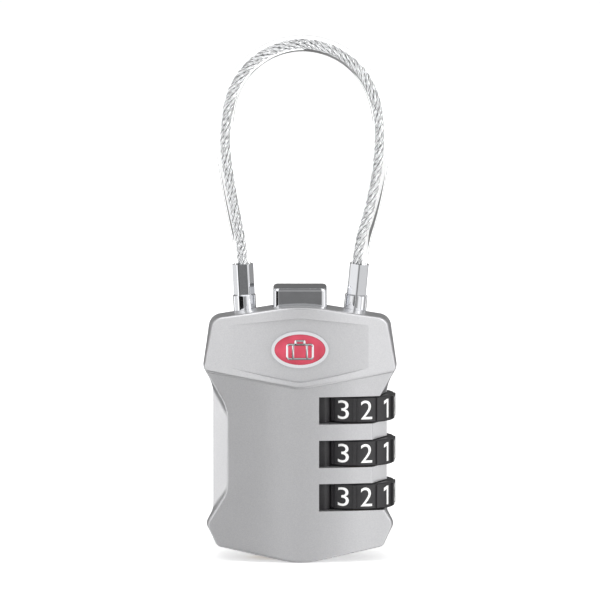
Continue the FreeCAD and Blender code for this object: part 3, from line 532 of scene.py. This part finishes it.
def raised(parts, spec):
    # thickens flat parts, rounds their edges and stands them on the badge
    bpy.ops.object.select_all(action="DESELECT")
    for part in parts:
        part.select_set(True)
    bpy.context.view_layer.objects.active = parts[0]
    bpy.ops.object.join()
    piece = bpy.context.object
    bpy.ops.object.mode_set(mode="EDIT")
    bpy.ops.mesh.select_all(action="SELECT")
    thickness = spec["proud"] + spec["sunk"]
    bpy.ops.mesh.extrude_region_move(TRANSFORM_OT_translate={"value": (0, 0, thickness)})
    bpy.ops.mesh.select_all(action="SELECT")
    bpy.ops.mesh.normals_make_consistent(inside=False)
    bpy.ops.object.mode_set(mode="OBJECT")
    rounded = piece.modifiers.new("rounded", "BEVEL")
    rounded.width, rounded.segments = spec["edge"], 2
    bpy.ops.object.modifier_apply(modifier=rounded.name)
    bpy.ops.object.shade_smooth_by_angle(angle=math.radians(spec["smooth"]))
    pivot = Vector(spec["pivot"])
    stand = Matrix.Rotation(math.pi / 2, 4, "X")
    lean = (Matrix.Translation(pivot) @ Matrix.Rotation(math.radians(spec["lean"]), 4, "X")
            @ Matrix.Translation(-pivot))
    place = Matrix.Translation((0, spec["face"] + spec["sunk"], spec["height"] + spec["drop"]))
    piece.data.transform(lean @ place @ stand)
    return piece


caseWidth, caseHeight = badge["case"]
handleWidth, handleHeight = badge["handle"]
line = badge["line"]
parts = [outline(caseWidth, caseHeight, 0, 0, badge["corner"], line),
         outline(handleWidth, handleHeight + line, 0, (caseHeight + handleHeight - line) / 2,
                 badge["handleCorner"], line)]
for x in (-badge["bars"], badge["bars"]):
    parts.append(bar(line, caseHeight - line, x, 0, badge["barCorner"], segments=3))
suitcase = raised(parts, badge)
suitcase.name = "badge_suitcase"
suitcase.data.materials.append(finishes["chrome"])
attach(suitcase, "casing")
print("badge finished")

# The studio: soft boxes, a pale floor, and walls that bright metal mirrors in bands.
studio = {"floor": "FFFFFF", "floorSize": 6, "floorGlow": 0.4, "aim": (0, 0, 0.04),
          # softboxes: place, width, height, watts, seen in gloss
          "boxes": {"key": ((0.50, -0.40, 0.30), 0.30, 0.40, 0.7, True),
                    "fill": ((-0.30, -0.35, 0.60), 0.30, 0.30, 0.35, True),
                    "left": ((-0.453, 0.394, 0.12), 0.15, 0.50, 0.34, True),
                    "right": ((0.453, 0.394, 0.12), 0.15, 0.50, 0.32, True),
                    "top": ((0.0, 0.05, 0.70), 0.50, 0.50, 0.7, False),
                    "back": ((-0.20, 0.60, 0.30), 0.40, 0.40, 0.8, False)},
          # brightness of the walls by degrees round from the camera, + to its right
          "lowWalls": [(-180, "505050"), (-130, "484848"), (-124, "C4C4C4"), (-76, "C4C4C4"),
                       (-72, "F4F4F4"), (-62, "F4F4F4"), (-59, "B4B4B4"), (-57, "101010"),
                       (-13, "161616"), (-10, "A4A4A4"), (-4, "A4A4A4"), (-2.5, "606060"),
                       (2.5, "606060"), (4, "8C8C8C"), (19, "848484"), (23, "CCCCCC"),
                       (50, "D4D4D4"), (57, "B4B4B4"), (63, "B4B4B4"), (68, "F0F0F0"),
                       (84, "F0F0F0"), (90, "9A9A9A"), (124, "8A8A8A"), (130, "484848"),
                       (180, "505050")],
          "highWalls": [(-180, "5A5A5A"), (-125, "606060"), (-50, "D8D8D8"), (-35, "F8F8F8"),
                        (-14, "F8F8F8"), (-5, "C8C8C8"), (5, "C8C8C8"), (14, "E8E8E8"),
                        (35, "E8E8E8"), (50, "D8D8D8"), (125, "606060"), (180, "5A5A5A")],
          # overhead a grey flag runs from front to back, which keeps the button's top edge quiet
          "topWalls": [(-180, "5A5A5A"), (-125, "606060"), (-50, "D8D8D8"), (-35, "F8F8F8"),
                       (-14, "F8F8F8"), (-9, "6C6C6C"), (9, "6C6C6C"), (14, "E8E8E8"),
                       (35, "E8E8E8"), (50, "D8D8D8"), (125, "606060"), (180, "5A5A5A")],
          # degrees above level between which low walls turn to high ones, and those to top ones
          "change": (-5.3, -2.6), "topChange": (4.0, 8.0), "strength": 1.65}


def softbox(name, place, width, height, watts, glossy):
    aim = Vector(studio["aim"]) - Vector(place)
    bpy.ops.object.light_add(type="AREA", location=place,
                             rotation=aim.to_track_quat("-Z", "Y").to_euler())
    light = bpy.context.object
    light.name = name
    light.data.shape = "RECTANGLE"
    light.data.size, light.data.size_y = width, height
    light.data.energy = watts
    light.visible_glossy = glossy


def paleFloor():
    # Matt white paint, which glows a little as if the whole room lit it.
    bpy.ops.mesh.primitive_plane_add(size=studio["floorSize"])
    floor = bpy.context.object
    floor.name = "floor"
    floor.visible_glossy = False     # bright metal mirrors the walls instead
    floor.data.materials.append(newMaterial(
        "paintedFloor", {"Base Color": srgb(studio["floor"]), "Roughness": 0.8,
                         "Emission Color": srgb(studio["floor"]),
                         "Emission Strength": studio["floorGlow"]})[0])


def studioWalls():
    # each wall's colour goes by the angle round, and the walls change with height
    world = bpy.data.worlds.new("studio")
    bpy.context.scene.world = world
    world.use_nodes = True
    tree = world.node_tree
    tree.nodes.clear()
    place = addNode(tree, "ShaderNodeTexCoord").outputs["Generated"]
    parts = addNode(tree, "ShaderNodeSeparateXYZ", links={0: place})
    front = addNode(tree, "ShaderNodeMath", {"operation": "MULTIPLY", 1: -1.0},
                    {0: parts.outputs["Y"]})
    turn = addNode(tree, "ShaderNodeMath", {"operation": "ARCTAN2"},
                   {0: parts.outputs["X"], 1: front.outputs[0]})
    share = addNode(tree, "ShaderNodeMapRange", {"From Min": -math.pi, "From Max": math.pi},
                    {"Value": turn.outputs[0]}).outputs["Result"]
    bands = []
    for key in ("lowWalls", "highWalls", "topWalls"):
        stops = [((angle + 180) / 360, code) for angle, code in studio[key]]
        bands.append(addNode(tree, "ShaderNodeValToRGB", {"stops": stops}, {"Fac": share}))
    walls = bands[0].outputs["Color"]
    for change, band in (("change", bands[1]), ("topChange", bands[2])):
        start, end = [math.sin(math.radians(angle)) for angle in studio[change]]
        height = addNode(tree, "ShaderNodeMapRange", {"From Min": start, "From Max": end},
                         {"Value": parts.outputs["Z"]}).outputs["Result"]
        walls = addNode(tree, "ShaderNodeMix", {"data_type": "RGBA"},
                        {0: height, 6: walls, 7: band.outputs["Color"]}).outputs[2]
    shade = addNode(tree, "ShaderNodeBackground", {"Strength": studio["strength"]},
                    {"Color": walls})
    addNode(tree, "ShaderNodeOutputWorld", links={"Surface": shade.outputs[0]})


for name, box in studio["boxes"].items():
    softbox(name, *box)
paleFloor()
studioWalls()
print("studio lit")
